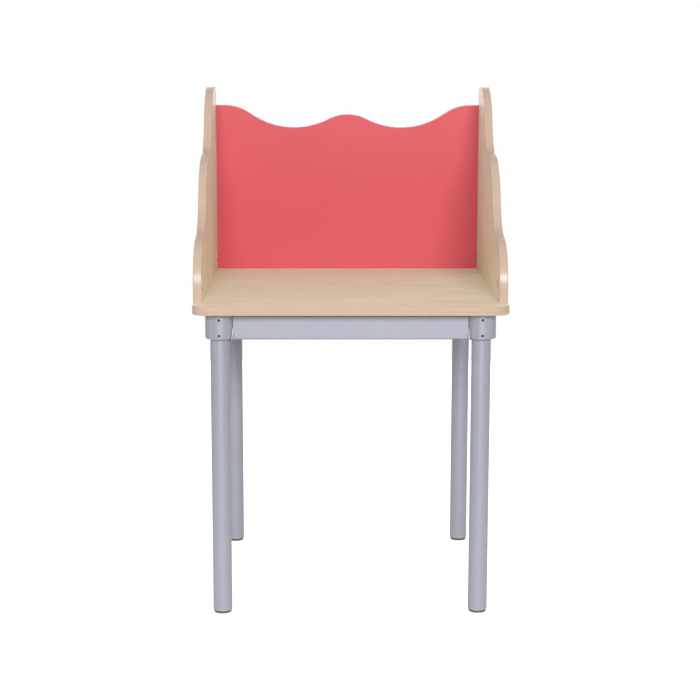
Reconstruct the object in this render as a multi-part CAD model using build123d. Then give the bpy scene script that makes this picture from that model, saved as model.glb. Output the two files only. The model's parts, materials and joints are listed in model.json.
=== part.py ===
from build123d import *

import os

# Study carrel: a square table on a round-leg steel frame, with a three-sided screen on top.
# Millimetres. X runs to the user's right, Y to the back, Z up. The origin is on the floor
# under the middle of the table top.

# ---- Table top -----------------------------------------------------------------------
TOP_SIZE = 650.0
BOARD_T = 18.0
TOP_Z = 660.0
TOP_UNDER_Z = TOP_Z - BOARD_T
TOP_CORNER_R = 35.0
BAND_T = 2.0
BAND_EASE_R = 1.5

# ---- Screen --------------------------------------------------------------------------
SIDE_OUT_X = TOP_SIZE / 2
SIDE_IN_X = SIDE_OUT_X - BOARD_T
SIDE_HEIGHT = 428.0
SIDE_FRONT_Y = -262.0
SIDE_BACK_Y = 302.0
SIDE_BACK_CORNER_R = 30.0
# Corners of the wavy front edge as (y, height above the table top), and their radii.
SIDE_WAVE = [
    (SIDE_FRONT_Y, 105.0),
    (-103.0, 141.0),
    (-48.0, 281.0),
    (96.0, 289.0),
    (172.0, SIDE_HEIGHT),
]
SIDE_WAVE_R = [93.0, 95.0, 150.0, 84.0, 128.0]

BACK_FRONT_Y = SIDE_BACK_Y - BOARD_T
BACK_MID_Y = SIDE_BACK_Y - BOARD_T / 2
# Half of the wavy top edge, from the shoulder to the middle, as (x, height) and radii.
SHOULDER_H = 384.0
BACK_WAVE = [(257.0, SHOULDER_H), (136.0, 307.0)]
BACK_WAVE_R = [100.0, 175.0]
BACK_HUMP_H = 373.5
BACK_HUMP_R = 95.0

# ---- Knock-down fittings ---------------------------------------------------------------
CAM_R = 7.5
CAM_DEPTH = 13.5
CAM_OFFSET = 34.0
CAM_SLOT = 6.0
CAP_R = 10.0
CAP_T = 1.5
CAP_SPIGOT_R = 2.5
CAP_SPIGOT_L = 2.0
BOLT_HEAD_R = 3.5
BOLT_HEAD_L = 4.0
BOLT_NECK_R = 2.0
BOLT_SHANK_R = 3.0
BOLT_GRIP = 11.0
BOLT_NECK_L = 7.0
BOLT_BORE_R = 4.0
DOWEL_R = 4.0
DOWEL_IN_BOARD = 11.0
DOWEL_IN_EDGE = 19.0
FIT_GAP = 0.1
SIDE_CAM_YS = [-230.0, 10.0, 245.0]
SIDE_DOWEL_YS = [-110.0, 130.0]
BACK_CAM_HEIGHTS = [70.0, 310.0]
BACK_DOWEL_HEIGHT = 190.0
BACK_CAM_XS = [-160.0, 160.0]

# ---- Under-frame -----------------------------------------------------------------------
LEG_XY = 270.0
SLEEVE_R = 30.0
SLEEVE_WALL = 3.0
SLEEVE_Z = 588.0
SLEEVE_RIM_R = 2.6
SLEEVE_CROWN_R = 1.2
SLEEVE_TOP_T = 4.0
RAIL_H = 50.0
RAIL_T = 25.0
RAIL_Z = 586.0
RAIL_WALL = 2.0
RAIL_CORNER_R = 4.0
RAIL_COPE_GAP = 0.5
LEG_R = 20.0
LEG_WALL = 2.0
LEG_Z = 9.8
LEG_TOP_Z = TOP_UNDER_Z - SLEEVE_TOP_T
BUSH_Z = SLEEVE_Z + 2.0
BUSH_GAP = 0.1
CLAMP_ZS = [596.5, 629.0]
CLAMP_R = 2.5
CLAMP_HOLE_R = 2.7
CLAMP_SET_BACK = 1.2
CLAMP_SOCKET_R = 1.4
CLAMP_SOCKET_L = 3.0

# ---- Table top brackets ----------------------------------------------------------------
TAB_T = 3.0
TAB_W = 30.0
TAB_LEG = 28.0
TAB_DROP = 30.0
TAB_BEND_R = 4.0
TAB_CORNER_R = 6.0
TAB_AT = 150.0
TAB_HOLE_R = 2.6
SCREW_R = 2.2
SCREW_L = 15.0
SCREW_HEAD_R = 4.5
SCREW_HEAD_T = 2.6
SCREW_SOCKET_R = 1.6
SCREW_SOCKET_L = 1.4

# ---- Levelling feet --------------------------------------------------------------------
PAD_R = 18.5
PAD_T = 4.5
PAD_EDGE_R = 1.0
PAD_NECK_R = 4.6
PAD_POCKET_R = 7.4
PAD_POCKET_LOW = 1.4
PAD_POCKET_HIGH = 3.6
PLUG_Z = 4.8
PLUG_LIP_R = 1.2
PLUG_SPIGOT_R = LEG_R - LEG_WALL - FIT_GAP
PLUG_SPIGOT_L = 26.0
PLUG_BORE_R = 4.6
NUT_AF = 13.0
NUT_T = 6.5
NUT_Z = 20.0
THREAD_R = 4.0
THREAD_GAP = 0.05
STEM_HEAD_R = 7.0
STEM_HEAD_LOW = 1.5
STEM_HEAD_HIGH = 3.5
STEM_TOP_Z = 40.0
STEM_POINT = 1.0
STEM_SOCKET_AF = 4.0
STEM_SOCKET_L = 6.0

CORNERS = {
    "front_left": (-1, -1),
    "front_right": (1, -1),
    "back_left": (-1, 1),
    "back_right": (1, 1),
}
OVERRUN = 20.0


def write(name, shape):
    export_step(shape, f"parts/{name}.step")


def group(name, solids):
    write(name, Compound(children=list(solids)))


def mirrored(shape, side):
    """The right-hand shape itself, or its left-hand twin."""
    if side > 0:
        return shape
    return mirror(shape, about=Plane.YZ)


def cylinder_between(start, end, radius):
    """A cylinder whose axis runs from one point to another."""
    axis = Vector(*end) - Vector(*start)
    base = Plane(origin=start, z_dir=axis)
    return extrude(base * Circle(radius), amount=axis.length)


def rounded_outline(points, radii):
    """A face inside a closed polygon whose corners are rounded, one radius for each."""
    return make_face(FilletPolyline(*points, radius=radii, close=True))


def split_band(outline, thickness, trim, ease_faces):
    """Cuts a panel into its board and the edge band around it.

    The outline overruns the trim box where an edge carries no band. The band's long
    edges are eased on the two faces whose normals lie along ease_faces.
    """
    whole = extrude(outline, amount=thickness)
    board = extrude(offset(outline, amount=-BAND_T), amount=thickness) & trim
    faces = whole.faces().sort_by(ease_faces)
    eased = fillet(faces[0].outer_wire().edges() + faces[-1].outer_wire().edges(), BAND_EASE_R)
    return board, (eased & trim) - board


# ---- Table top -------------------------------------------------------------------------


def tab_positions():
    """Bracket places: two on each rail, as (x, y, angle of the rail's inward side)."""
    for turn in range(4):
        for along in (-TAB_AT, TAB_AT):
            yield Rot(0, 0, 90 * turn) * Pos(along, -LEG_XY + RAIL_T / 2, 0)


def screw_axes():
    """Middle of each bracket's screw hole, on the table top's underside."""
    for place in tab_positions():
        yield place * Pos(0, TAB_LEG / 2 + TAB_T / 2, TOP_UNDER_Z)


def table_top():
    outline = Pos(0, 0, TOP_UNDER_Z) * RectangleRounded(TOP_SIZE, TOP_SIZE, TOP_CORNER_R)
    trim = Box(2 * TOP_SIZE, 2 * TOP_SIZE, 4 * TOP_SIZE)
    board, band = split_band(outline, BOARD_T, trim, Axis.Z)
    holes = [place * cylinder_between((0, 0, 0), (0, 0, SCREW_L), SCREW_R + FIT_GAP) for place in screw_axes()]
    holes += [bolt_hole_in_board(fitting) for fitting in TOP_BOLTS]
    holes += [dowel_hole(dowel) for dowel in TOP_DOWELS]
    return board - holes, band


# ---- Fittings: each is a point on a joint face, the way into the drilled edge, and the
# ---- direction from the middle of the edge's thickness to the face with the cam ---------

SIDE_MID_X = SIDE_OUT_X - BOARD_T / 2


def side_to_top_points(ys):
    for side in (-1, 1):
        for y in ys:
            yield Vector(side * SIDE_MID_X, y, TOP_Z), Vector(0, 0, 1), Vector(-side, 0, 0)


def back_to_top_points(xs):
    for x in xs:
        yield Vector(x, BACK_MID_Y, TOP_Z), Vector(0, 0, 1), Vector(0, 1, 0)


def back_to_side_points(heights):
    for side in (-1, 1):
        for height in heights:
            joint = Vector(side * SIDE_IN_X, BACK_MID_Y, TOP_Z + height)
            yield joint, Vector(-side, 0, 0), Vector(0, 1, 0)


SIDE_TO_TOP_BOLTS = list(side_to_top_points(SIDE_CAM_YS))
BACK_TO_TOP_BOLTS = list(back_to_top_points(BACK_CAM_XS))
BACK_TO_SIDE_BOLTS = list(back_to_side_points(BACK_CAM_HEIGHTS))
TOP_BOLTS = SIDE_TO_TOP_BOLTS + BACK_TO_TOP_BOLTS
BACK_BOLTS = BACK_TO_TOP_BOLTS + BACK_TO_SIDE_BOLTS
ALL_BOLTS = TOP_BOLTS + BACK_TO_SIDE_BOLTS

SIDE_TO_TOP_DOWELS = list(side_to_top_points(SIDE_DOWEL_YS))
BACK_TO_TOP_DOWELS = list(back_to_top_points([0.0]))
BACK_TO_SIDE_DOWELS = list(back_to_side_points([BACK_DOWEL_HEIGHT]))
TOP_DOWELS = SIDE_TO_TOP_DOWELS + BACK_TO_TOP_DOWELS
ALL_DOWELS = TOP_DOWELS + BACK_TO_SIDE_DOWELS


def bolt_hole_in_board(fitting):
    joint, inward, _ = fitting
    return cylinder_between(joint - inward * (BOLT_GRIP + 1), joint, BOLT_SHANK_R + FIT_GAP)


def bolt_bore_in_edge(fitting):
    joint, inward, _ = fitting
    return cylinder_between(joint, joint + inward * CAM_OFFSET, BOLT_BORE_R)


def cam_pocket(fitting):
    joint, inward, face_way = fitting
    mouth = joint + inward * CAM_OFFSET + face_way * (BOARD_T / 2)
    return cylinder_between(mouth, mouth - face_way * CAM_DEPTH, CAM_R + FIT_GAP)


def dowel_hole(dowel):
    joint, inward, _ = dowel
    return cylinder_between(
        joint - inward * (DOWEL_IN_BOARD + 1),
        joint + inward * (DOWEL_IN_EDGE + 1),
        DOWEL_R + FIT_GAP,
    )


def cam_lock(fitting):
    """A disc with a bore for the bolt's head, open towards the joint."""
    joint, inward, face_way = fitting
    middle = joint + inward * CAM_OFFSET
    mouth = middle + face_way * (BOARD_T / 2 - FIT_GAP)
    disc = cylinder_between(mouth, mouth - face_way * (CAM_DEPTH - 2 * FIT_GAP), CAM_R)
    head_bore = cylinder_between(joint, middle + inward * (BOLT_HEAD_L / 2), BOLT_BORE_R)
    drive = cylinder_between(mouth, mouth - face_way * (CAP_SPIGOT_L + 1), CAP_SPIGOT_R + FIT_GAP)
    return disc - head_bore - drive


def cam_bolt(fitting):
    """Grip end in the board, plain shank, thin neck, and the head inside the cam."""
    joint, inward, _ = fitting
    head_start = CAM_OFFSET - BOLT_HEAD_L / 2 - 1
    shank = cylinder_between(joint - inward * BOLT_GRIP, joint + inward * (head_start - BOLT_NECK_L), BOLT_SHANK_R)
    neck = cylinder_between(joint, joint + inward * (head_start + 1), BOLT_NECK_R)
    head = cylinder_between(joint + inward * head_start, joint + inward * (head_start + BOLT_HEAD_L), BOLT_HEAD_R)
    return shank + neck + head


def cam_cap(fitting):
    joint, inward, face_way = fitting
    face = joint + inward * CAM_OFFSET + face_way * (BOARD_T / 2)
    disc = cylinder_between(face, face + face_way * CAP_T, CAP_R)
    rim = disc.edges().sort_by(Axis(face, face_way))[-1]
    disc = fillet(rim, CAP_T / 2)
    return disc + cylinder_between(face - face_way * CAP_SPIGOT_L, face, CAP_SPIGOT_R)


def dowel(place):
    joint, inward, _ = place
    pin = cylinder_between(joint - inward * DOWEL_IN_BOARD, joint + inward * DOWEL_IN_EDGE, DOWEL_R)
    ends = pin.edges().filter_by(GeomType.CIRCLE)
    return chamfer(ends, 1)


# ---- Screen ----------------------------------------------------------------------------


def side_panels():
    """Board and band of the right panel, drawn in YZ with its foot on the table top."""
    points = [(SIDE_FRONT_Y, TOP_Z - OVERRUN)]
    points += [(y, TOP_Z + height) for y, height in SIDE_WAVE]
    points += [(SIDE_BACK_Y, TOP_Z + SIDE_HEIGHT), (SIDE_BACK_Y, TOP_Z - OVERRUN)]
    radii = [0] + SIDE_WAVE_R + [SIDE_BACK_CORNER_R, 0]
    outline = Plane.YZ.offset(SIDE_IN_X) * rounded_outline(points, radii)
    trim = Pos(SIDE_IN_X, 0, TOP_Z) * Box(
        4 * BOARD_T, 2 * TOP_SIZE, 2 * TOP_SIZE, align=(Align.CENTER, Align.CENTER, Align.MIN)
    )
    board, band = split_band(outline, BOARD_T, trim, Axis.X)
    for side, hand in ((-1, "left"), (1, "right")):
        cuts = []
        for fitting in SIDE_TO_TOP_BOLTS:
            cuts += [bolt_bore_in_edge(fitting), cam_pocket(fitting)]
        cuts += [bolt_hole_in_board(fitting) for fitting in BACK_TO_SIDE_BOLTS]
        cuts += [dowel_hole(place) for place in SIDE_TO_TOP_DOWELS + BACK_TO_SIDE_DOWELS]
        write(f"{hand}_side_panel", mirrored(board, side) - cuts)
        write(f"{hand}_panel_edge_band", mirrored(band, side))


def back_panel():
    right = [(x, height) for x, height in BACK_WAVE]
    points = [(SIDE_IN_X + OVERRUN, -OVERRUN), (SIDE_IN_X + OVERRUN, SHOULDER_H)] + right
    points += [(0.0, BACK_HUMP_H)]
    points += [(-x, height) for x, height in reversed(points[:-1])]
    radii = [0, 0] + BACK_WAVE_R + [BACK_HUMP_R] + BACK_WAVE_R[::-1] + [0, 0]
    face = Plane(origin=(0, SIDE_BACK_Y, TOP_Z), x_dir=(1, 0, 0), z_dir=(0, -1, 0))
    outline = face * rounded_outline(points, radii)
    trim = Pos(0, SIDE_BACK_Y, TOP_Z) * Box(
        2 * SIDE_IN_X, 4 * BOARD_T, 2 * TOP_SIZE, align=(Align.CENTER, Align.CENTER, Align.MIN)
    )
    board, band = split_band(outline, BOARD_T, trim, Axis.Y)
    cuts = []
    for fitting in BACK_BOLTS:
        cuts += [bolt_bore_in_edge(fitting), cam_pocket(fitting)]
    cuts += [dowel_hole(place) for place in BACK_TO_TOP_DOWELS + BACK_TO_SIDE_DOWELS]
    return board - cuts, band


# ---- Under-frame -----------------------------------------------------------------------


def rail():
    """The front rail: a rectangular tube whose ends are coped to fit round the sleeves."""
    section = Plane.YZ.offset(-LEG_XY) * Pos(-LEG_XY, RAIL_Z + RAIL_H / 2)
    outer = section * RectangleRounded(RAIL_T, RAIL_H, RAIL_CORNER_R)
    inner = section * RectangleRounded(
        RAIL_T - 2 * RAIL_WALL, RAIL_H - 2 * RAIL_WALL, RAIL_CORNER_R - RAIL_WALL
    )
    tube = extrude(outer - inner, amount=2 * LEG_XY)
    for side in (-1, 1):
        axis_low = (side * LEG_XY, -LEG_XY, RAIL_Z - OVERRUN)
        axis_high = (side * LEG_XY, -LEG_XY, TOP_Z)
        tube -= cylinder_between(axis_low, axis_high, SLEEVE_R + RAIL_COPE_GAP)
    return tube


def clamp_hole(z, way):
    """Radial hole for a clamp screw, through the sleeve's and the bush's wall."""
    return cylinder_between((0, way * (LEG_R + FIT_GAP), z), (0, way * (SLEEVE_R + 1), z), CLAMP_HOLE_R)


def sleeve(way):
    """A round cup, closed at the top, with its two screw holes on the outer side."""
    height = TOP_UNDER_Z - SLEEVE_Z
    cup = Pos(0, 0, SLEEVE_Z) * Cylinder(
        SLEEVE_R, height, align=(Align.CENTER, Align.CENTER, Align.MIN)
    )
    cup = fillet(cup.edges().filter_by(GeomType.CIRCLE).sort_by(Axis.Z)[0], SLEEVE_RIM_R)
    cup = fillet(cup.edges().filter_by(GeomType.CIRCLE).sort_by(Axis.Z)[-1], SLEEVE_CROWN_R)
    cup -= cylinder_between((0, 0, SLEEVE_Z - 1), (0, 0, LEG_TOP_Z), SLEEVE_R - SLEEVE_WALL)
    return cup - [clamp_hole(z, way) for z in CLAMP_ZS]


def bush(way):
    """The plastic ring that centres the leg in its sleeve."""
    outer = cylinder_between((0, 0, BUSH_Z), (0, 0, LEG_TOP_Z - FIT_GAP), SLEEVE_R - SLEEVE_WALL - BUSH_GAP)
    ring = outer - cylinder_between((0, 0, BUSH_Z - 1), (0, 0, TOP_Z), LEG_R + BUSH_GAP)
    return ring - [clamp_hole(z, way) for z in CLAMP_ZS]


def clamp_screw(z, way):
    """A set screw that bears on the leg, with a drive socket in its outer end."""
    tip = (0, way * (LEG_R + FIT_GAP), z)
    outer_end = (0, way * (SLEEVE_R - CLAMP_SET_BACK), z)
    socket_end = (0, way * (SLEEVE_R - CLAMP_SET_BACK - CLAMP_SOCKET_L), z)
    return cylinder_between(tip, outer_end, CLAMP_R) - cylinder_between(socket_end, outer_end, CLAMP_SOCKET_R)


def leg_tube():
    outer = cylinder_between((0, 0, LEG_Z), (0, 0, LEG_TOP_Z - FIT_GAP), LEG_R)
    return outer - cylinder_between((0, 0, 0), (0, 0, TOP_Z), LEG_R - LEG_WALL)


def rail_tab():
    """A bent angle bracket: one leg on the rail's inner side, one under the table top."""
    bend_at = (0, TOP_UNDER_Z)
    corner = FilletPolyline(
        (TAB_LEG, TOP_UNDER_Z), bend_at, (0, TOP_UNDER_Z - TAB_DROP), radius=TAB_BEND_R
    )
    inner = FilletPolyline(
        (TAB_T, TOP_UNDER_Z - TAB_DROP),
        (TAB_T, TOP_UNDER_Z - TAB_T),
        (TAB_LEG, TOP_UNDER_Z - TAB_T),
        radius=TAB_BEND_R - TAB_T,
    )
    ends = [Line(corner @ 1, inner @ 0), Line(inner @ 1, corner @ 0)]
    section = make_face(Curve() + [corner, inner] + ends)
    strip = extrude(Plane.YZ.offset(-TAB_W / 2) * section, amount=TAB_W)
    lip_corners = strip.edges().filter_by(Axis.Z).sort_by(Axis.Y)[-2:]
    foot_corners = strip.edges().filter_by(Axis.Y).sort_by(Axis.Z)[:2]
    strip = fillet(lip_corners + foot_corners, TAB_CORNER_R)
    hole_at = TAB_LEG / 2 + TAB_T / 2
    hole = cylinder_between((0, hole_at, TOP_UNDER_Z - 2 * TAB_T), (0, hole_at, TOP_Z), TAB_HOLE_R)
    return strip - hole


def top_screw():
    """A pan-head wood screw, driven upwards; its head is under the bracket."""
    shank = cylinder_between((0, 0, -TAB_T), (0, 0, SCREW_L - 1 - TAB_T), SCREW_R)
    head = cylinder_between((0, 0, -TAB_T - SCREW_HEAD_T), (0, 0, -TAB_T), SCREW_HEAD_R)
    head = fillet(head.edges().sort_by(Axis.Z)[0], SCREW_HEAD_T / 2)
    socket = cylinder_between(
        (0, 0, -TAB_T - SCREW_HEAD_T), (0, 0, -TAB_T - SCREW_HEAD_T + SCREW_SOCKET_L), SCREW_SOCKET_R
    )
    return head + shank - socket


# ---- Levelling feet --------------------------------------------------------------------


def leg_plug():
    """The end plug: a lip as wide as the leg, a spigot inside it and a nut pocket."""
    lip = cylinder_between((0, 0, PLUG_Z), (0, 0, LEG_Z), LEG_R)
    lip = fillet(lip.edges().sort_by(Axis.Z)[0], PLUG_LIP_R)
    plug = lip + cylinder_between((0, 0, LEG_Z), (0, 0, LEG_Z + PLUG_SPIGOT_L), PLUG_SPIGOT_R)
    plug -= cylinder_between((0, 0, 0), (0, 0, TOP_Z), PLUG_BORE_R)
    pocket = RegularPolygon(NUT_AF / 2 + FIT_GAP, 6, major_radius=False)
    return plug - extrude(Pos(0, 0, NUT_Z) * pocket, amount=NUT_T)


def plug_nut():
    blank = RegularPolygon(NUT_AF / 2, 6, major_radius=False) - Circle(THREAD_R + THREAD_GAP)
    return extrude(Pos(0, 0, NUT_Z + FIT_GAP) * blank, amount=NUT_T - 2 * FIT_GAP)


def levelling_stem():
    """A threaded stem with a round head held in the pad and a drive socket on top."""
    head = cylinder_between((0, 0, STEM_HEAD_LOW), (0, 0, STEM_HEAD_HIGH), STEM_HEAD_R)
    shank = cylinder_between((0, 0, STEM_HEAD_LOW), (0, 0, STEM_TOP_Z), THREAD_R)
    shank = chamfer(shank.edges().sort_by(Axis.Z)[-1], STEM_POINT)
    socket = Pos(0, 0, STEM_TOP_Z - STEM_SOCKET_L) * RegularPolygon(
        STEM_SOCKET_AF / 2, 6, major_radius=False
    )
    return head + shank - extrude(socket, amount=STEM_SOCKET_L)


def glide_pad():
    """A flat black pad with a pocket that holds the stem's head."""
    disc = cylinder_between((0, 0, 0), (0, 0, PAD_T), PAD_R)
    disc = fillet(disc.edges().filter_by(GeomType.CIRCLE), PAD_EDGE_R)
    disc -= cylinder_between((0, 0, PAD_POCKET_LOW), (0, 0, PAD_POCKET_HIGH), PAD_POCKET_R)
    return disc - cylinder_between((0, 0, PAD_POCKET_HIGH), (0, 0, PAD_T), PAD_NECK_R)


# ---- Assembly --------------------------------------------------------------------------


def write_screen():
    side_panels()
    back_board, back_band = back_panel()
    write("back_panel", back_board)
    write("back_panel_edge_band", back_band)
    group("cam_locks", [cam_lock(fitting) for fitting in ALL_BOLTS])
    group("cam_bolts", [cam_bolt(fitting) for fitting in ALL_BOLTS])
    group("side_cam_caps", [cam_cap(fitting) for fitting in SIDE_TO_TOP_BOLTS])
    group("back_cam_caps", [cam_cap(fitting) for fitting in BACK_BOLTS])
    group("dowels", [dowel(place) for place in ALL_DOWELS])


def write_frame():
    for turn, name in enumerate(("front", "right", "back", "left")):
        write(f"rail_{name}", Rot(0, 0, 90 * turn) * rail())
    clamp_screws = []
    for name, (x_side, y_side) in CORNERS.items():
        at = Pos(x_side * LEG_XY, y_side * LEG_XY, 0)
        write(f"corner_sleeve_{name}", at * sleeve(y_side))
        write(f"clamp_bush_{name}", at * bush(y_side))
        write(f"leg_tube_{name}", at * leg_tube())
        clamp_screws += [at * clamp_screw(z, y_side) for z in CLAMP_ZS]
    group("leg_clamp_screws", clamp_screws)
    group("rail_tabs", [place * rail_tab() for place in tab_positions()])
    group("top_screws", [place * top_screw() for place in screw_axes()])


def write_feet():
    nuts = []
    for name, (x_side, y_side) in CORNERS.items():
        at = Pos(x_side * LEG_XY, y_side * LEG_XY, 0)
        write(f"leg_plug_{name}", at * leg_plug())
        write(f"levelling_stem_{name}", at * levelling_stem())
        write(f"glide_pad_{name}", at * glide_pad())
        nuts.append(at * plug_nut())
    group("plug_nuts", nuts)


def main():
    os.makedirs("parts", exist_ok=True)
    board, band = table_top()
    write("table_top_board", board)
    write("table_top_edge_band", band)
    write_screen()
    write_frame()
    write_feet()


main()
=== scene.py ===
import json
import math

import bmesh
import bpy
from mathutils import Matrix, Vector


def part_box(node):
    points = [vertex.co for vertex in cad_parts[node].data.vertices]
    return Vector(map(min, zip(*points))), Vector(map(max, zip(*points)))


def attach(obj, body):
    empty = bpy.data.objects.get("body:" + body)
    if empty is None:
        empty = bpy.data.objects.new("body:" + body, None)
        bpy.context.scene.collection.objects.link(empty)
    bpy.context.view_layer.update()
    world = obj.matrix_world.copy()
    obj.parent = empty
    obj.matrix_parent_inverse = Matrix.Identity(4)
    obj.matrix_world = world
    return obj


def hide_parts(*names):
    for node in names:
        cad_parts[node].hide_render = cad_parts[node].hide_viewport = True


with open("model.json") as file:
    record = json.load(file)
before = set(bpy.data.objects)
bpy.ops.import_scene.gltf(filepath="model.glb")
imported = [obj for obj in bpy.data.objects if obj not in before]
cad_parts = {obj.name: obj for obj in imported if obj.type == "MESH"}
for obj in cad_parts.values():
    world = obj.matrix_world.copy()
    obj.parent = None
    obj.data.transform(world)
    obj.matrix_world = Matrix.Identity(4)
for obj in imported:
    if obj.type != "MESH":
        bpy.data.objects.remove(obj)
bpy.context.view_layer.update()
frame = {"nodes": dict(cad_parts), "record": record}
NODES = frame["nodes"]

MM = 0.001
CORNERS = ("front_left", "front_right", "back_left", "back_right")

# Soft boxes as (place, aim, size, watts), and the strength of the room's own light.
SOFT_BOXES = {
    "key": ((0.55, -9.0, 3.5), (0, 0, 0.7), (4.5, 2.4), 1040),
    "top": ((0, 0.3, 3.4), (0, 0.3, 0.6), (2.6, 2.2), 16),
    "left": ((-4.5, -1.6, 1.6), (0, 0, 0.7), (2.0, 2.0), 50),
    "right": ((4.5, -1.6, 1.6), (0, 0, 0.7), (2.0, 2.0), 43),
    "back": ((0, 5.0, 1.8), (0, 0, 0.7), (6.0, 2.6), 72),
    "high_left": ((-4.0, -1.0, 3.0), (0, 0, 0.8), (2.0, 1.6), 12),
    "back_left": ((-3.2, 3.4, 2.0), (0, 0, 0.8), (1.8, 2.2), 5),
}
ROOM_LIGHT = 0.325
WALL_LIGHT = 0.737
FLOOR_VEIL = 0.5


# The booth is the space between the side panels' inner faces, above the table top. There the maple
# is painted paler and cooler, painted light that cancels the red panel's reddish bounce light, most
# of all high up at the back, and a painted sheen makes it palest above the red panel's shoulders.
# Both tints multiply the maple's colour.
BOOTH_MARGIN = 0.5 * MM
BOOTH_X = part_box("right_side_panel")[0][0] + BOOTH_MARGIN
BOOTH_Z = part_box("table_top_board")[1][2] - BOOTH_MARGIN
BOOTH_HIGH_Z = 0.96
BOOTH_FRONT_Y, BOOTH_BACK_Y = -0.3, 0.28
BOOTH_FRONT_SHARE = 0.35
BOOTH_LOW_SHARE = 0.62
# Painted light: a paler, cooler maple inside the booth, and a painted sheen above the red panel's shoulders.
BOOTH_PAINTED_LIGHT = (0.91, 1.24, 1.34, 1.0)
BOOTH_TOP_Z = 1.04
BOOTH_TOP_PAINTED_SHEEN = (1.06, 1.18, 1.42, 1.0)

CAMERA_AT = (-0.0532, -3.7929, 1.1918)
CAMERA_YAW, CAMERA_PITCH, CAMERA_ROLL = 0.0147, 0.1768, 0.0018
CAMERA_LENS = 89.0
SENSOR_WIDTH = 36.0

FLOOR_RADIUS = 2.7
FLOOR_FADE = (1.2, 2.6)
BACKDROP_RADIUS = 25.0


# ---- Scene -----------------------------------------------------------------------------


def srgb(red, green, blue):
    """A linear colour from the 0 to 255 values of a display colour."""
    def linear(value):
        value /= 255
        return value / 12.92 if value <= 0.04045 else ((value + 0.055) / 1.055) ** 2.4
    return (linear(red), linear(green), linear(blue), 1.0)


def make_camera():
    """The camera of the photograph: turned by its yaw, then its pitch, then its roll."""
    level = math.cos(CAMERA_PITCH)
    forward = Vector((math.sin(CAMERA_YAW) * level, math.cos(CAMERA_YAW) * level, -math.sin(CAMERA_PITCH)))
    level_right = Vector((math.cos(CAMERA_YAW), -math.sin(CAMERA_YAW), 0))
    level_up = level_right.cross(forward)
    right = math.cos(CAMERA_ROLL) * level_right + math.sin(CAMERA_ROLL) * level_up
    up = math.cos(CAMERA_ROLL) * level_up - math.sin(CAMERA_ROLL) * level_right
    data = bpy.data.cameras.new("camera")
    data.sensor_width = SENSOR_WIDTH
    data.lens = CAMERA_LENS
    data.clip_end = 4 * BACKDROP_RADIUS
    camera = bpy.data.objects.new("camera", data)
    turned = Matrix((right, up, -forward)).transposed().to_4x4()
    camera.matrix_world = Matrix.Translation(CAMERA_AT) @ turned
    bpy.context.scene.collection.objects.link(camera)
    bpy.context.scene.camera = camera


def soft_box(name, at, aim, size, watts):
    data = bpy.data.lights.new(name, "AREA")
    data.shape = "RECTANGLE"
    data.size, data.size_y = size
    data.energy = watts
    light = bpy.data.objects.new(name, data)
    light.location = at
    light.rotation_mode = "QUATERNION"
    light.rotation_quaternion = (Vector(aim) - Vector(at)).to_track_quat("-Z", "Y")
    light.visible_camera = False
    bpy.context.scene.collection.objects.link(light)


# ---- Materials -------------------------------------------------------------------------


class Shader:
    """A material's node tree, with one short call for each kind of node used here."""

    def __init__(self, name, **surface):
        self.mat = bpy.data.materials.new(name)
        self.mat.use_nodes = True
        self.tree = self.mat.node_tree
        self.tree.nodes.clear()
        self.out = self.tree.nodes.new("ShaderNodeOutputMaterial")
        self.surface = self.node("BsdfPrincipled", surface)
        self.tree.links.new(self.surface.outputs[0], self.out.inputs[0])
        self.place = self.node("TexCoord").outputs["Object"]

    def node(self, kind, inputs=None, **settings):
        made = self.tree.nodes.new("ShaderNode" + kind)
        for key, value in settings.items():
            setattr(made, key, value)
        for key, value in (inputs or {}).items():
            self.feed(made.inputs[key], value)
        return made

    def feed(self, socket, value):
        if isinstance(value, bpy.types.NodeSocket):
            self.tree.links.new(value, socket)
        else:
            socket.default_value = value

    def set(self, **inputs):
        for key, value in inputs.items():
            self.feed(self.surface.inputs[key.replace("_", " ")], value)

    def scaled(self, x, y, z):
        return self.node("Mapping", {"Vector": self.place, "Scale": (x, y, z)}).outputs[0]

    def noise(self, where, scale=1.0, detail=2.0, roughness=0.5, distortion=0.0):
        inputs = {"Vector": where, "Scale": scale, "Detail": detail}
        inputs.update({"Roughness": roughness, "Distortion": distortion})
        return self.node("TexNoise", inputs).outputs["Fac"]

    def math(self, operation, *values):
        made = self.node("Math", operation=operation)
        for socket, value in zip(made.inputs, values):
            self.feed(socket, value)
        return made.outputs[0]

    def remap(self, value, low, high, to_low, to_high):
        made = self.node(
            "MapRange",
            {"Value": value, "From Min": low, "From Max": high, "To Min": to_low, "To Max": to_high},
        )
        return made.outputs[0]

    def mix(self, factor, first, second, blend="MIX"):
        made = self.node("Mix", data_type="RGBA", blend_type=blend)
        for index, value in ((0, factor), (6, first), (7, second)):
            self.feed(made.inputs[index], value)
        return made.outputs[2]

    def bump(self, height, strength, distance, under=None):
        inputs = {"Height": height, "Strength": strength, "Distance": distance}
        if under is not None:
            inputs["Normal"] = under
        return self.node("Bump", inputs).outputs[0]


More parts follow.
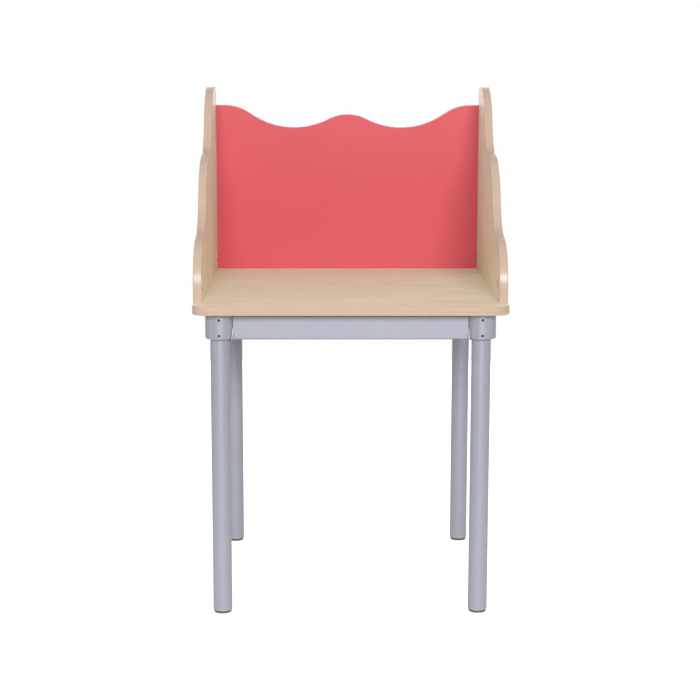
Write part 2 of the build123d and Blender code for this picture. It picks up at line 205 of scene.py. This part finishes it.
def booth_painted_light(s, colour):
    """Tints a colour with painted light on the faces that look into the booth: paler and cooler against the
    red panel's bounce light, more towards its back and top, and a painted sheen above the red panel's
    shoulders.
    """
    axes = s.node("SeparateXYZ", {0: s.place}).outputs
    near_middle = s.math("LESS_THAN", s.math("ABSOLUTE", axes[0]), BOOTH_X)
    above = s.math("GREATER_THAN", axes[2], BOOTH_Z)
    depth = s.remap(axes[1], BOOTH_FRONT_Y, BOOTH_BACK_Y, BOOTH_FRONT_SHARE, 1.0)
    height = s.remap(axes[2], BOOTH_Z, BOOTH_HIGH_Z, BOOTH_LOW_SHARE, 1.0)
    inside = s.math("MULTIPLY", near_middle, above)
    amount = s.math("MULTIPLY", inside, s.math("MULTIPLY", depth, height))
    at_top = s.remap(axes[2], BOOTH_TOP_Z - 0.015, BOOTH_TOP_Z + 0.01, 0.0, 1.0)
    return s.mix(amount, colour, s.mix(at_top, BOOTH_PAINTED_LIGHT, BOOTH_TOP_PAINTED_SHEEN), "MULTIPLY")


def maple_face(name, along):
    """Printed maple on a satin melamine face. along is the axis that the grain follows."""
    s = Shader(name)

    def grain(length_scale, cross_scale):
        scale = [cross_scale] * 3
        scale[along] = length_scale
        return s.scaled(*scale)

    rings = s.noise(grain(1.1, 7.0), detail=3.0, roughness=0.45, distortion=0.4)
    rings = s.math("PINGPONG", s.math("MULTIPLY", rings, 9.0), 0.5)
    rings = s.math("POWER", s.math("MULTIPLY", rings, 2.0), 2.0)
    fibre = s.noise(grain(7.0, 420.0), detail=4.0, roughness=0.6)
    cloud = s.noise(grain(3.0, 16.0), detail=3.0)
    fleck = s.remap(s.noise(grain(110.0, 900.0), detail=1.0), 0.62, 0.72, 0.0, 1.0)
    colour = s.mix(s.remap(cloud, 0.3, 0.7, 0.0, 1.0), srgb(226, 209, 181), srgb(219, 199, 170))
    colour = s.mix(s.math("MULTIPLY", rings, 0.4), colour, srgb(205, 181, 149))
    colour = s.mix(s.remap(fibre, 0.35, 0.65, 0.0, 0.4), colour, srgb(208, 187, 157))
    colour = s.mix(s.math("MULTIPLY", fleck, 0.35), colour, srgb(186, 159, 124))
    # Painted light: the booth's faces are painted paler and cooler, with a painted sheen above the red
    # panel's shoulders.
    colour = booth_painted_light(s, colour)
    grit = s.noise(s.place, scale=1600.0, detail=2.0)
    s.set(Base_Color=colour)
    s.set(Roughness=s.remap(s.math("ADD", grit, fibre), 0.7, 1.3, 0.46, 0.54))
    s.set(Normal=s.bump(s.math("ADD", grit, s.math("MULTIPLY", fibre, 0.6)), 0.08, 0.0002))
    return s.mat


def edge_band(name, thickness_axis, light, dark, contrast):
    """Semi-gloss plastic edging, whose faint printed lines run along the edge."""
    s = Shader(name, **{"Specular IOR Level": 0.36, "Specular Tint": (0.66, 0.86, 1.0, 1.0)})
    scale = [5.0] * 3
    scale[thickness_axis] = 700.0
    lines = s.noise(s.scaled(*scale), detail=4.0, roughness=0.6)
    cloud = s.noise(s.place, scale=30.0, detail=3.0)
    colour = s.mix(s.remap(lines, 0.35, 0.65, 0.0, contrast), light, dark)
    colour = s.mix(s.remap(cloud, 0.3, 0.7, 0.0, 0.25), colour, dark)
    wave = s.noise(s.place, scale=220.0, detail=2.0)
    s.set(Base_Color=colour)
    s.set(Roughness=s.remap(cloud, 0.3, 0.7, 0.27, 0.33))
    s.set(Normal=s.bump(wave, 0.05, 0.0003))
    return s.mat


def red_face(name):
    """Coral melamine with a fine pearled surface."""
    s = Shader(name, **{"Specular IOR Level": 0.35})
    mottle = s.noise(s.place, scale=260.0, detail=3.0)
    cloud = s.noise(s.place, scale=7.0, detail=2.0)
    colour = s.mix(s.remap(mottle, 0.3, 0.7, 0.0, 1.0), srgb(186, 61, 69), srgb(181, 56, 66))
    colour = s.mix(s.remap(cloud, 0.3, 0.7, 0.0, 0.5), colour, srgb(179, 55, 64))
    pearl = s.noise(s.place, scale=900.0, detail=2.0, roughness=0.6)
    s.set(Base_Color=colour)
    s.set(Roughness=s.remap(pearl, 0.3, 0.7, 0.34, 0.46))
    s.set(Normal=s.bump(pearl, 0.12, 0.0002))
    return s.mat


def powder_coat(name):
    """Silver-grey powder coat: orange peel, and a fine metallic sparkle."""
    s = Shader(name, Metallic=0.35)
    flake = s.node("TexVoronoi", {"Vector": s.place, "Scale": 2600.0}).outputs["Distance"]
    cloud = s.noise(s.place, scale=14.0, detail=3.0)
    colour = s.mix(s.remap(flake, 0.2, 0.8, 0.0, 1.0), srgb(154, 155, 165), srgb(140, 142, 153))
    colour = s.mix(s.remap(cloud, 0.3, 0.7, 0.0, 0.4), colour, srgb(143, 144, 156))
    peel = s.noise(s.place, scale=420.0, detail=2.0)
    s.set(Base_Color=colour)
    s.set(Roughness=s.remap(peel, 0.3, 0.7, 0.36, 0.46))
    s.set(Normal=s.bump(peel, 0.1, 0.0003))
    return s.mat


def plated_steel(name):
    """Bright zinc plate with faint turning marks and a patchy yellow-blue passivation."""
    s = Shader(name, Metallic=1.0)
    patch = s.noise(s.place, scale=90.0, detail=3.0)
    marks = s.noise(s.scaled(300.0, 300.0, 4000.0), detail=2.0)
    s.set(Base_Color=s.mix(patch, srgb(206, 205, 198), srgb(186, 190, 196)))
    s.set(Roughness=s.remap(s.math("ADD", patch, marks), 0.6, 1.4, 0.22, 0.4))
    s.set(Normal=s.bump(marks, 0.1, 0.0001))
    return s.mat


def plastic(name, light, dark, roughness, bump=0.15):
    """Moulded plastic with a fine spark-eroded texture."""
    s = Shader(name)
    speck = s.noise(s.place, scale=1400.0, detail=2.0)
    cloud = s.noise(s.place, scale=60.0, detail=3.0)
    s.set(Base_Color=s.mix(s.remap(s.math("ADD", speck, cloud), 0.7, 1.3, 0.0, 1.0), light, dark))
    s.set(Roughness=s.remap(cloud, 0.3, 0.7, roughness - 0.06, roughness + 0.06))
    s.set(Normal=s.bump(speck, bump, 0.0002))
    return s.mat


def beech(name):
    s = Shader(name)
    grain = s.noise(s.scaled(160.0, 160.0, 600.0), detail=4.0, roughness=0.6)
    s.set(Base_Color=s.mix(grain, srgb(214, 176, 128), srgb(186, 144, 98)))
    s.set(Roughness=s.remap(grain, 0.3, 0.7, 0.55, 0.7))
    s.set(Normal=s.bump(grain, 0.2, 0.0003))
    return s.mat


# Light and dark shades of the printed edging.
MAPLE_LIGHT, MAPLE_DARK = srgb(179, 156, 139), srgb(164, 139, 117)
RED_LIGHT, RED_DARK = srgb(192, 76, 82), srgb(182, 68, 75)

MATERIALS = {
    "maple_laminate": maple_face("maple_laminate_upright", 2),
    "maple_edging": edge_band("maple_edging_upright", 0, MAPLE_LIGHT, MAPLE_DARK, 0.7),
    "red_laminate": red_face("red_laminate"),
    "red_edging": edge_band("red_edging", 1, RED_LIGHT, RED_DARK, 0.4),
    "silver_paint": powder_coat("silver_powder_coat"),
    "zinc_casting": plastic("zinc_casting", srgb(176, 176, 172), srgb(150, 150, 148), 0.4, 0.3),
    "zinc_plated_steel": plated_steel("zinc_plated_steel"),
    "black_steel": plastic("black_steel", srgb(38, 38, 40), srgb(24, 24, 26), 0.35),
    "beech": beech("beech"),
    "grey_plastic": plastic("grey_plastic", srgb(150, 150, 152), srgb(136, 136, 139), 0.42),
    "black_plastic": plastic("black_plastic", srgb(66, 66, 68), srgb(50, 50, 52), 0.5),
    "maple_plastic": plastic("maple_plastic", srgb(196, 176, 150), srgb(186, 165, 138), 0.5),
    "red_plastic": plastic("red_plastic", srgb(196, 72, 80), srgb(184, 64, 72), 0.42),
}
OWN_MATERIAL = {
    "table_top_board": maple_face("maple_laminate_top", 0),
    "table_top_edge_band": edge_band("maple_edging_top", 2, MAPLE_LIGHT, MAPLE_DARK, 0.7),
}


def dress_nodes():
    for part in frame["record"]["subparts"]:
        node, slot = part["node"], part["material_slot"]
        mesh = NODES[node].data
        mesh.materials.clear()
        mesh.materials.append(OWN_MATERIAL.get(node, MATERIALS[slot]))


# ---- Small parts -----------------------------------------------------------------------


def islands(node):
    """Low and high corners of each separate solid of a CAD node."""
    mesh = NODES[node].data
    keys = [tuple(round(c, 6) for c in vertex.co) for vertex in mesh.vertices]
    links = {key: key for key in keys}

    def root(key):
        while links[key] != key:
            key = links[key]
        return key

    for face in mesh.polygons:
        first = root(keys[face.vertices[0]])
        for index in face.vertices[1:]:
            links[root(keys[index])] = first
    groups = {}
    for key in links:
        groups.setdefault(root(key), []).append(key)
    boxes = [(Vector(map(min, zip(*found))), Vector(map(max, zip(*found)))) for found in groups.values()]
    return sorted(boxes, key=lambda box: tuple(box[0]))


def piece(name, bm, material, body, nodes=()):
    """A visible piece from mesh code, riding on its body, in place of the CAD nodes named."""
    bmesh.ops.recalc_face_normals(bm, faces=bm.faces)
    mesh = bpy.data.meshes.new(name)
    bm.to_mesh(mesh)
    bm.free()
    mesh.shade_smooth()
    mesh.set_sharp_from_angle(angle=math.radians(35))
    mesh.materials.append(material)
    made = bpy.data.objects.new(name, mesh)
    bpy.context.scene.collection.objects.link(made)
    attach(made, body)
    if nodes:
        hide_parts(*nodes)


def facing(middle, way):
    """A place at a point, with its Z axis along way."""
    return Matrix.Translation(middle) @ Vector(way).to_track_quat("Z", "Y").to_matrix().to_4x4()


def add_ring(bm, place, points):
    return [bm.verts.new(place @ Vector(point)) for point in points]


def bridge(bm, rings):
    for low, high in zip(rings, rings[1:]):
        for i in range(len(low)):
            j = (i + 1) % len(low)
            bm.faces.new((low[i], low[j], high[j], high[i]))


def lathe(bm, place, profile, segments=48):
    """Rings about the place's Z axis, one for each (radius, height) in millimetres."""
    rings = []
    for radius, height in profile:
        turns = [2 * math.pi * k / segments for k in range(segments)]
        circle = [(radius * MM * math.cos(t), radius * MM * math.sin(t), height * MM) for t in turns]
        rings.append(add_ring(bm, place, circle))
    return rings


def thread(bm, place, heights, radius, pitch, depth, segments=48):
    """Rings of a right-hand screw thread between two heights, in millimetres."""
    low, high = heights
    count = round((high - low) / pitch * 8)
    rings = []
    for k in range(count + 1):
        height = low + (high - low) * k / count
        run_out = min(1.0, k / 6, (count - k) / 6)
        points = []
        for i in range(segments):
            turn = i / segments
            phase = (height / pitch - turn) % 1
            groove = min(1.0, max(0.0, abs(2 * phase - 1) * 1.25 - 0.12))
            reach = (radius - depth * groove * run_out) * MM
            angle = 2 * math.pi * turn
            points.append((reach * math.cos(angle), reach * math.sin(angle), height * MM))
        rings.append(add_ring(bm, place, points))
    return rings


# Radius, pitch and depth of each kind of thread, in millimetres.
SET_SCREW_PITCH, SET_SCREW_DEPTH = 0.8, 0.3
WOOD_THREAD = {"radius": 2.2, "pitch": 1.8, "depth": 0.55}
STEM_THREAD = {"radius": 4.0, "pitch": 1.25, "depth": 0.65}


def loop_edges(bm, ring):
    edges = []
    for i in range(len(ring)):
        pair = (ring[i], ring[(i + 1) % len(ring)])
        edges.append(bm.edges.get(pair) or bm.edges.new(pair))
    return edges


def drive_recess(bm, place, rim, outline, top, bottom, taper):
    """Closes a screw's face at its rim, with a recess of this outline sunk into it."""
    mouth = add_ring(bm, place, [(x * MM, y * MM, top * MM) for x, y in outline])
    floor = add_ring(bm, place, [(x * MM * taper, y * MM * taper, bottom * MM) for x, y in outline])
    bmesh.ops.triangle_fill(bm, use_beauty=True, edges=loop_edges(bm, rim) + loop_edges(bm, mouth))
    bridge(bm, [mouth, floor])
    bm.faces.new(floor)


def hexagon(across_flats):
    radius = across_flats / math.sqrt(3)
    return [(radius * math.cos(math.pi * k / 3), radius * math.sin(math.pi * k / 3)) for k in range(6)]


def cross(reach, half):
    """The corners of a cross whose arms are 2 * half wide."""
    corners = []
    for k in range(4):
        cosine, sine = (1, 0, -1, 0)[k], (0, 1, 0, -1)[k]
        for x, y in ((reach, -half), (reach, half), (half, half)):
            corners.append((cosine * x - sine * y, sine * x + cosine * y))
    return corners


# Drive recesses: hexagons across flats and their depths, and the cross with its taper.
SET_SCREW_KEY, SET_SCREW_SOCKET_L = 2.6, 2.4
STEM_KEY, STEM_SOCKET_L = 4.0, 6.0
CROSS_REACH, CROSS_HALF, CROSS_L, CROSS_TAPER = 1.75, 0.42, 1.5, 0.55


def make_set_screws():
    """Black socket screws, just below the surface of the sleeves."""
    bm = bmesh.new()
    for low, high in islands("leg_clamp_screws"):
        middle = (low + high) / 2
        way = math.copysign(1.0, middle.y)
        length = (high.y - low.y) / MM
        radius = (high.z - low.z) / 2 / MM
        place = facing((middle.x, middle.y - way * length / 2 * MM, middle.z), (0, way, 0))
        rings = lathe(bm, place, [(radius - 0.9, 0.0), (radius - 0.3, 0.6)])
        rings += thread(bm, place, (0.8, length - 0.5), radius, SET_SCREW_PITCH, SET_SCREW_DEPTH)
        rings += lathe(bm, place, [(radius - 0.35, length)])
        bridge(bm, rings)
        bm.faces.new(rings[0])
        drive_recess(bm, place, rings[-1], hexagon(SET_SCREW_KEY), length, length - SET_SCREW_SOCKET_L, 0.96)
    piece("set_screws", bm, MATERIALS["black_steel"], "carrel", ["leg_clamp_screws"])


PAN_HEAD_T = 2.6
PAN_HEAD = [
    (1.8, 0.0), (4.3, 0.0), (4.5, 0.3), (4.5, 0.9), (4.3, 1.5), (3.7, 2.1), (2.9, 2.45), (2.3, PAN_HEAD_T),
]


def make_top_screws():
    """Pan-head screws with a cross recess, driven up through the brackets."""
    bm = bmesh.new()
    for low, high in islands("top_screws"):
        middle = (low + high) / 2
        length = (high.z - low.z) / MM
        head = length - PAN_HEAD_T
        place = facing((middle.x, middle.y, high.z), (0, 0, -1))
        rings = lathe(bm, place, [(0.4, 0.0), (1.3, 1.6)])
        rings += thread(bm, place, (2.0, head - 1.2), **WOOD_THREAD)
        rings += lathe(bm, place, [(radius, head + height) for radius, height in PAN_HEAD])
        bridge(bm, rings)
        bm.faces.new(rings[0])
        outline = cross(CROSS_REACH, CROSS_HALF)
        drive_recess(bm, place, rings[-1], outline, length, length - CROSS_L, CROSS_TAPER)
    zinc = "zinc_plated_steel"
    piece("pan_head_screws", bm, MATERIALS[zinc], "carrel", ["top_screws"])


CAP_T = 1.5
CAP_PROFILE = [
    (10.0, 0.0), (10.0, 0.7), (9.75, 1.15), (9.2, 1.42), (8.6, 1.5), (8.2, 1.5), (8.0, 1.3), (7.7, 1.26),
    (7.4, 1.4), (5.5, 1.3), (3.0, 1.2), (1.6, 1.18), (1.3, 1.3), (0.8, 1.36), (0.3, 1.38),
]


def make_caps(name, node, slot, way_of):
    """Snap-in covers over the cams: a raised rim, a groove and a dished middle with a pip."""
    bm = bmesh.new()
    for low, high in islands(node):
        way = Vector(way_of(low))
        middle = (low + high) / 2
        outer = Vector(b if w > 0 else a if w < 0 else m for w, a, b, m in zip(way, low, high, middle))
        rings = lathe(bm, facing(outer - way * CAP_T * MM, way), CAP_PROFILE)
        bridge(bm, rings)
        bm.faces.new(rings[0])
        bm.faces.new(rings[-1])
    piece(name, bm, MATERIALS[slot], "carrel", [node])


def into_booth(corner):
    return (-math.copysign(1, corner.x), 0, 0)


def backwards(corner):
    return (0, 1, 0)


STEM_FOOT = [(6.3, 1.5), (7.0, 1.9), (7.0, 3.1), (6.3, 3.5), (4.3, 3.5), (3.8, 3.9)]
PAD_PROFILE = [
    (0.6, 1.4), (7.4, 1.4), (7.4, 3.6), (4.6, 3.6), (4.6, 4.3), (4.9, 4.5), (13.6, 4.5), (14.0, 4.3),
    (16.9, 4.25), (17.9, 3.9), (18.4, 3.1), (18.5, 2.2), (18.4, 1.0), (17.9, 0.3), (17.1, 0.0),
    (15.2, 0.0), (14.9, 0.35), (13.7, 0.35), (13.4, 0.0), (3.2, 0.0), (2.9, 0.25), (0.8, 0.25),
]


def make_stem(corner, place, top):
    bm = bmesh.new()
    rings = lathe(bm, place, STEM_FOOT)
    rings += thread(bm, place, (4.3, top - 1.1), **STEM_THREAD)
    rings += lathe(bm, place, [(3.1, top)])
    bridge(bm, rings)
    bm.faces.new(rings[0])
    drive_recess(bm, place, rings[-1], hexagon(STEM_KEY), top, top - STEM_SOCKET_L, 1.0)
    zinc = "zinc_plated_steel"
    piece("stem_thread_" + corner, bm, MATERIALS[zinc], "stem_" + corner, ["levelling_stem_" + corner])


def make_pad(corner, place):
    bm = bmesh.new()
    rings = lathe(bm, place, PAD_PROFILE, 72)
    bridge(bm, rings)
    bm.faces.new(rings[0])
    bm.faces.new(rings[-1])
    black = "black_plastic"
    piece("moulded_pad_" + corner, bm, MATERIALS[black], "foot_" + corner, ["glide_pad_" + corner])


def make_feet():
    """Threaded levelling stems, and the moulded pads that they stand in."""
    for corner in CORNERS:
        low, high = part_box("levelling_stem_" + corner)
        place = Matrix.Translation(((low[0] + high[0]) / 2, (low[1] + high[1]) / 2, 0))
        make_stem(corner, place, high[2] / MM)
        make_pad(corner, place)


# The welds fill the rail joints from the rails' middle down, and spread onto the sleeves.
WELD_TOP_Z = (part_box("rail_front")[0][2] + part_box("rail_front")[1][2]) / 2
WELD_HEIGHT = 0.024
WELD_SPREAD = 0.009
WELD_MIDDLE_SHARE = 0.45
SPREAD_CURVE = 1.3
WELD_R, WELD_R_GROWTH = 0.7 * MM, 2.9 * MM
BRACKET_WELD_R = 1.2 * MM
RAIL_CORNER_R = 4 * MM
# Radius of the dark bead of painted shade laid in each open joint.
JOINT_SHADE_LINE_R = 0.7 * MM
BRACKET_WELD_STEP = 0.5 * MM
BRACKET_WELD_STEPS = 30


def bead(bm, points, radii, side_way, segments=12):
    """A rippled weld bead along a path, closed at both ends."""
    rings = []
    for k, point in enumerate(points):
        along = (points[min(k + 1, len(points) - 1)] - points[max(k - 1, 0)]).normalized()
        across = along.cross(side_way).normalized()
        out = across.cross(along)
        turns = [2 * math.pi * i / segments for i in range(segments)]
        circle = [point + radii[k] * (math.cos(t) * across + math.sin(t) * out) for t in turns]
        rings.append([bm.verts.new(place) for place in circle])
    bridge(bm, rings)
    bm.faces.new(rings[0])
    bm.faces.new(rings[-1])


def ripple(distance, radius):
    """The radius along a bead: one small swelling for each drop of weld."""
    return radius * (1 + 0.12 * abs(math.sin(math.pi * distance / (1.7 * MM))))


def rail_section(across, low, high, corner):
    """Half outline of a rail, up one side, over the top and down the other, as (across, z)."""
    outline = [(-across, low + (high - corner - low) * k / 60) for k in range(60)]
    arc = [(corner * math.cos(math.pi / 2 * k / 8), corner * math.sin(math.pi / 2 * k / 8)) for k in range(9)]
    outline += [(-across + corner - x, high - corner + z) for x, z in arc]
    outline += [(-across + corner + (across - corner) * k / 12, high) for k in range(1, 13)]
    return outline + [(-a, z) for a, z in reversed(outline[:-1])]


def rail_joints():
    """Each rail-to-sleeve joint: its way out along the rail, and how to place a point on the
    sleeve, so far across the rail's middle, so high, and so far spread away from the rail."""
    for corner in CORNERS:
        low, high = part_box("corner_sleeve_" + corner)
        middle = Vector(((low[0] + high[0]) / 2, (low[1] + high[1]) / 2, 0))
        radius = (high[0] - low[0]) / 2
        inward = Vector((-math.copysign(1, middle.x), 0, 0)), Vector((0, -math.copysign(1, middle.y), 0))
        for way in inward:
            side = way.cross(Vector((0, 0, 1)))

            def on_sleeve(across, z, spread):
                turn = math.asin(across / radius) + math.copysign(spread / radius, across)
                return middle + radius * (math.cos(turn) * way + math.sin(turn) * side) + Vector((0, 0, z))

            yield way, on_sleeve


def weld_growth(z):
    """How far down the welded half of a joint a height is, from 0 at its top."""
    return min(1.0, max(0.0, (WELD_TOP_Z - z) / WELD_HEIGHT))


def weld_spread(z):
    """How far a weld reaches onto the sleeve at a height."""
    return WELD_SPREAD * weld_growth(z) ** SPREAD_CURVE


def make_joints():
    """Dark lines of painted shade in the open joints round the rails' ends, and the welds that fill them low
    down.
    """
    rail_low, rail_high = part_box("rail_front")
    half = (rail_high[1] - rail_low[1]) / 2
    section = rail_section(half, rail_low[2] + 0.6 * MM, rail_high[2], RAIL_CORNER_R)
    lines = bmesh.new()
    welds = bmesh.new()
    for way, on_sleeve in rail_joints():
        points = [on_sleeve(a, z, weld_spread(z)) for a, z in section]
        # Painted shade: a thin dark bead along each joint stands for the shadow inside the open gap.
        bead(lines, points, [JOINT_SHADE_LINE_R] * len(points), way)
        low = [(a, z) for a, z in section if z < WELD_TOP_Z]
        for run in (low[: len(low) // 2], low[len(low) // 2 :][::-1]):
            points = [on_sleeve(a, z, WELD_MIDDLE_SHARE * weld_spread(z)) for a, z in run]
            radii = []
            for k, (across, z) in enumerate(run):
                size = (WELD_R + WELD_R_GROWTH * weld_growth(z)) * min(1.0, 0.45 + k / 8)
                radii.append(ripple((points[k] - points[0]).length, size))
            bead(welds, points, radii, way)
    add_bracket_welds(welds)
    piece("joint_shade_lines", lines, MATERIALS["black_steel"], "carrel")
    piece("weld_beads", welds, MATERIALS["silver_paint"], "carrel")


def add_bracket_welds(bm):
    """Short beads down both sides of each bracket."""
    for low, high in islands("rail_tabs"):
        middle = (low + high) / 2
        axis = 1 if abs(middle.y) > abs(middle.x) else 0
        way = Vector((0, 0, 0))
        way[axis] = -math.copysign(1, middle[axis])
        face = high[axis] if way[axis] < 0 else low[axis]
        for edge in (low[1 - axis], high[1 - axis]):
            start = Vector((edge, edge, low.z + 7 * MM))
            start[axis] = face
            points = []
            radii = []
            for k in range(BRACKET_WELD_STEPS + 1):
                rise = k * BRACKET_WELD_STEP
                end = min(1.0, 0.4 + min(k, BRACKET_WELD_STEPS - k) / 4)
                points.append(start + Vector((0, 0, rise)))
                radii.append(ripple(rise, BRACKET_WELD_R * end))
            bead(bm, points, radii, way)


def make_small_parts():
    make_set_screws()
    make_top_screws()
    make_caps("side_cap_covers", "side_cam_caps", "maple_plastic", into_booth)
    make_caps("back_cap_covers", "back_cam_caps", "red_plastic", backwards)
    make_feet()
    make_joints()


# ---- Studio ----------------------------------------------------------------------------


def stage_piece(name, bm, material):
    mesh = bpy.data.meshes.new(name)
    bm.to_mesh(mesh)
    bm.free()
    mesh.materials.append(material)
    made = bpy.data.objects.new(name, mesh)
    bpy.context.scene.collection.objects.link(made)
    return made


def seen_only_by_camera(thing):
    for kind in ("diffuse", "glossy", "transmission", "volume_scatter", "shadow"):
        setattr(thing, "visible_" + kind, False)


def make_floor():
    """A pale round floor that fades into the white backdrop, and a veil of light on it."""
    s = Shader("pale_floor", **{"Specular IOR Level": 0.2, "Roughness": 0.8})
    grain = s.noise(s.place, scale=400.0, detail=2.0)
    s.set(Base_Color=s.mix(grain, srgb(240, 240, 240), srgb(234, 234, 234)))
    radius = s.node("VectorMath", {0: s.place}, operation="LENGTH").outputs["Value"]
    fade = s.node("MixShader", {0: s.remap(radius, *FLOOR_FADE, 0.0, 1.0), 1: s.surface.outputs[0]})
    s.tree.links.new(s.node("BsdfTransparent").outputs[0], fade.inputs[2])
    s.tree.links.new(fade.outputs[0], s.out.inputs[0])
    bm = bmesh.new()
    bmesh.ops.create_circle(bm, cap_ends=True, segments=96, radius=FLOOR_RADIUS)
    floor = stage_piece("floor", bm, s.mat)
    floor.location.z = -0.0004

    veil = Shader("floor_veil")
    both = veil.node("AddShader", {0: veil.node("BsdfTransparent").outputs[0]})
    veil.tree.links.new(veil.node("Emission", {"Strength": FLOOR_VEIL}).outputs[0], both.inputs[1])
    veil.tree.links.new(both.outputs[0], veil.out.inputs[0])
    bm = bmesh.new()
    bmesh.ops.create_circle(bm, cap_ends=True, segments=96, radius=FLOOR_RADIUS)
    glow = stage_piece("floor_veil", bm, veil.mat)
    glow.location.z = -0.0002
    seen_only_by_camera(glow)


def make_backdrop():
    """A white dome behind everything, which lights nothing."""
    s = Shader("backdrop")
    s.tree.links.new(s.node("Emission", {"Strength": 1.0}).outputs[0], s.out.inputs[0])
    bm = bmesh.new()
    bmesh.ops.create_icosphere(bm, subdivisions=4, radius=BACKDROP_RADIUS)
    seen_only_by_camera(stage_piece("backdrop", bm, s.mat))


def make_world():
    """The room that lights and is reflected: brightest towards the white wall at the back."""
    world = bpy.data.worlds.new("studio")
    world.use_nodes = True
    tree = world.node_tree
    tree.nodes.clear()
    out = tree.nodes.new("ShaderNodeOutputWorld")
    room = tree.nodes.new("ShaderNodeBackground")
    coord = tree.nodes.new("ShaderNodeTexCoord")
    split = tree.nodes.new("ShaderNodeSeparateXYZ")
    rise = tree.nodes.new("ShaderNodeMapRange")
    rise.interpolation_type = "SMOOTHSTEP"
    rise.inputs["From Min"].default_value = 0.1
    rise.inputs["From Max"].default_value = 0.9
    rise.inputs["To Min"].default_value = ROOM_LIGHT
    rise.inputs["To Max"].default_value = ROOM_LIGHT + WALL_LIGHT
    tree.links.new(coord.outputs["Generated"], split.inputs[0])
    tree.links.new(split.outputs["Y"], rise.inputs["Value"])
    tree.links.new(rise.outputs[0], room.inputs["Strength"])
    tree.links.new(room.outputs[0], out.inputs[0])
    bpy.context.scene.world = world


def make_studio():
    make_world()
    make_backdrop()
    make_floor()
    for name, (at, aim, size, watts) in SOFT_BOXES.items():
        soft_box(name, at, aim, size, watts)
    view = bpy.context.scene.view_settings
    view.view_transform = "Standard"
    view.look = "None"


# ---- Everything ------------------------------------------------------------------------

make_camera()
dress_nodes()
make_small_parts()
make_studio()
